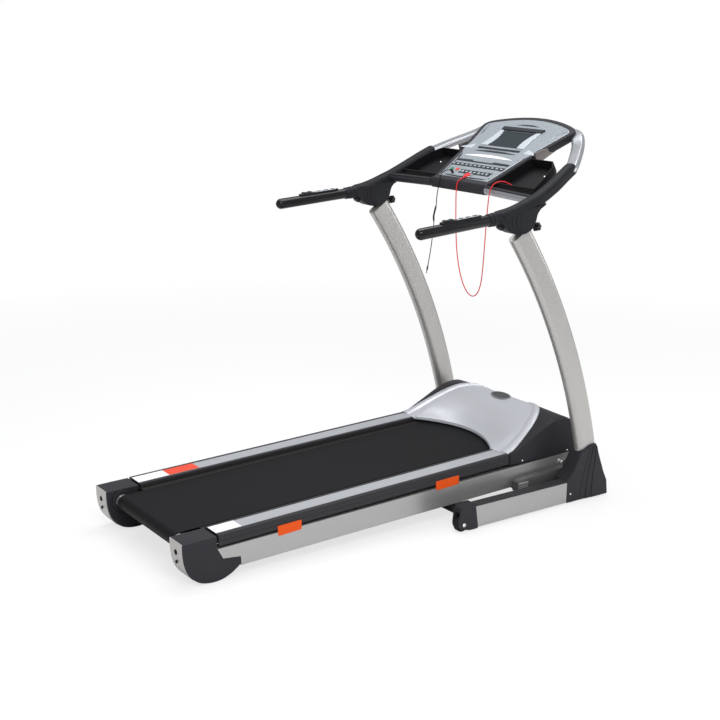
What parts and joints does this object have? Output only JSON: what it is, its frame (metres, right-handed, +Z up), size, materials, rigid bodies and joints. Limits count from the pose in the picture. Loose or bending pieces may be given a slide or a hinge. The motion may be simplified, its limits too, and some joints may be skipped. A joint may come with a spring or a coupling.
{
  "type": "folding treadmill",
  "caption": "Folding motorised treadmill with a belt deck, side rails, motor hood, curved uprights, handlebar and a tilted console.",
  "frame": {"origin": "on the floor, at the middle of the length and width", "axes": "+X along the length towards the console, +Y to the user's left, +Z up"},
  "size_m": [1.78, 0.916, 1.4138],
  "materials": {
    "silver_paint": "satin silver powder coat",
    "grey_steel": "satin grey paint",
    "black_plastic": "fine moulded texture",
    "rail_plastic": "ribbed, with a silver tread insert",
    "soft_foam": "smooth foam",
    "silver_plastic": "satin silver",
    "screen_glass": "smooth",
    "key_rubber": "matte",
    "green_plastic": "satin",
    "red_plastic": "glossy",
    "red_cord": "woven",
    "black_cable": "satin",
    "belt_rubber": "fine woven grain",
    "foot_rubber": "matte",
    "wheel_rubber": "satin",
    "roller_steel": "turned",
    "motor_metal": "satin",
    "board_wood": "waxed fibreboard",
    "controller_case": "moulded"
  },
  "bodies": {
    "base": {"base_rail_left": "silver_paint", "base_rail_right": "silver_paint", "base_cross_tubes": "grey_steel", "wheel_brackets": "black_plastic", "base_feet": "foot_rubber", "upright_left": "silver_paint", "upright_right": "silver_paint", "boot_left": "black_plastic", "boot_right": "black_plastic", "handle_hub_left": "black_plastic", "handle_hub_right": "black_plastic", "grip_left": "soft_foam", "grip_right": "soft_foam", "arm_sleeves": "soft_foam", "handlebar_loops": "silver_paint", "crossbars": "silver_paint", "console_shell": "black_plastic", "console_face": "silver_plastic", "display_frame": "silver_plastic", "display_screen": "screen_glass", "quick_key_strip": "key_rubber", "side_trays": "black_plastic", "incline_actuator": "motor_metal", "safety_cord": "red_cord", "cord_clip": "red_plastic", "audio_cable": "black_cable", "cable_plugs": "black_plastic"},
    "lift_frame": {"lift_frame": "grey_steel"},
    "hinge_brackets": {"hinge_brackets": "grey_steel"},
    "deck": {"side_tube_left": "silver_paint", "side_tube_right": "silver_paint", "deck_cross_members": "grey_steel", "deck_cushions": "foot_rubber", "deck_board": "board_wood", "foot_rail_left": "rail_plastic", "foot_rail_right": "rail_plastic", "end_cap_left": "black_plastic", "end_cap_right": "black_plastic", "running_belt": "belt_rubber", "hood_skirt": "black_plastic", "motor_hood": "silver_plastic", "drive_motor": "motor_metal", "drive_belt": "belt_rubber", "motor_controller": "controller_case"},
    "front_roller": {"front_roller": "roller_steel"},
    "rear_roller": {"rear_roller": "roller_steel"},
    "motor_rotor": {"motor_rotor": "roller_steel"},
    "transport_wheel_left": {"transport_wheel_left": "wheel_rubber"},
    "clamp_knob_left": {"clamp_knob_left": "black_plastic"},
    "rocker_left": {"rocker_left": "key_rubber"},
    "transport_wheel_right": {"transport_wheel_right": "wheel_rubber"},
    "clamp_knob_right": {"clamp_knob_right": "black_plastic"},
    "rocker_right": {"rocker_right": "key_rubber"},
    "start_button": {"start_button": "green_plastic"},
    "stop_button": {"stop_button": "red_plastic"},
    "speed_down_key": {"speed_down_key": "key_rubber"},
    "speed_up_key": {"speed_up_key": "key_rubber"},
    "incline_down_key": {"incline_down_key": "key_rubber"},
    "incline_up_key": {"incline_up_key": "key_rubber"},
    "safety_key": {"safety_key": "red_plastic"}
  },
  "joints": [
    {"name": "incline_lift", "type": "hinge", "parent": "base", "child": "lift_frame", "pos_m": [0.511, 0, 0.084], "axis": [0, -1, 0], "range_deg": [0, 30]},
    {"name": "incline_link", "type": "hinge", "parent": "lift_frame", "child": "hinge_brackets", "pos_m": [0.782, 0, 0.1], "axis": [0, -1, 0], "range_deg": [-26, 0]},
    {"name": "deck_fold", "type": "hinge", "parent": "hinge_brackets", "child": "deck", "pos_m": [0.76, 0, 0.118], "axis": [0, 1, 0], "range_deg": [0, 65], "deforming": ["safety_cord", "audio_cable", "cable_plugs"]},
    {"name": "front_roller_spin", "type": "hinge", "parent": "deck", "child": "front_roller", "pos_m": [0.6105, 0, 0.16776], "axis": [0, -1, 0], "continuous": true},
    {"name": "rear_roller_spin", "type": "hinge", "parent": "deck", "child": "rear_roller", "pos_m": [-0.83666, 0, 0.11849], "axis": [0, -1, 0], "continuous": true},
    {"name": "motor_spin", "type": "hinge", "parent": "deck", "child": "motor_rotor", "pos_m": [0.718, 0, 0.178], "axis": [0, -1, 0], "continuous": true},
    {"name": "transport_wheel_left_spin", "type": "hinge", "parent": "base", "child": "transport_wheel_left", "pos_m": [0.171, 0.43, 0.028], "axis": [0, 1, 0], "continuous": true},
    {"name": "clamp_knob_left_turn", "type": "hinge", "parent": "base", "child": "clamp_knob_left", "pos_m": [0.464, 0.428, 1.074], "axis": [1, 0, 0], "range_deg": [0, 360]},
    {"name": "rocker_left_tilt", "type": "hinge", "parent": "base", "child": "rocker_left", "pos_m": [0.0707, 0.43225, 1.12551], "axis": [0.0197, 0.9998, 0.0007], "range_deg": [-1.6, 1.6], "stiffness_Nm_per_rad": 0.5},
    {"name": "transport_wheel_right_spin", "type": "hinge", "parent": "base", "child": "transport_wheel_right", "pos_m": [0.171, -0.43, 0.028], "axis": [0, 1, 0], "continuous": true},
    {"name": "clamp_knob_right_turn", "type": "hinge", "parent": "base", "child": "clamp_knob_right", "pos_m": [0.464, -0.428, 1.074], "axis": [1, 0, 0], "range_deg": [0, 360]},
    {"name": "rocker_right_tilt", "type": "hinge", "parent": "base", "child": "rocker_right", "pos_m": [0.0707, -0.43225, 1.12551], "axis": [-0.0197, 0.9998, -0.0007], "range_deg": [-1.6, 1.6], "stiffness_Nm_per_rad": 0.5},
    {"name": "start_button_press", "type": "slide", "parent": "base", "child": "start_button", "axis": [0.4886, 0, -0.8725], "range_m": [0, 0.0015], "stiffness_N_per_m": 400},
    {"name": "stop_button_press", "type": "slide", "parent": "base", "child": "stop_button", "axis": [0.4886, 0, -0.8725], "range_m": [0, 0.0015], "stiffness_N_per_m": 400},
    {"name": "speed_down_key_press", "type": "slide", "parent": "base", "child": "speed_down_key", "axis": [0.4886, 0, -0.8725], "range_m": [0, 0.0015], "stiffness_N_per_m": 400},
    {"name": "speed_up_key_press", "type": "slide", "parent": "base", "child": "speed_up_key", "axis": [0.4886, 0, -0.8725], "range_m": [0, 0.0015], "stiffness_N_per_m": 400},
    {"name": "incline_down_key_press", "type": "slide", "parent": "base", "child": "incline_down_key", "axis": [0.4886, 0, -0.8725], "range_m": [0, 0.0015], "stiffness_N_per_m": 400},
    {"name": "incline_up_key_press", "type": "slide", "parent": "base", "child": "incline_up_key", "axis": [0.4886, 0, -0.8725], "range_m": [0, 0.0015], "stiffness_N_per_m": 400},
    {"name": "safety_key_pull", "type": "slide", "parent": "base", "child": "safety_key", "axis": [-0.4886, 0, 0.8725], "range_m": [0, 0.012]}
  ],
  "couplings": [
    {"joint": "incline_link", "follows": "incline_lift", "ratio": -0.8407},
    {"joint": "rear_roller_spin", "follows": "front_roller_spin", "ratio": 1},
    {"joint": "motor_spin", "follows": "front_roller_spin", "ratio": 2.375}
  ]
}
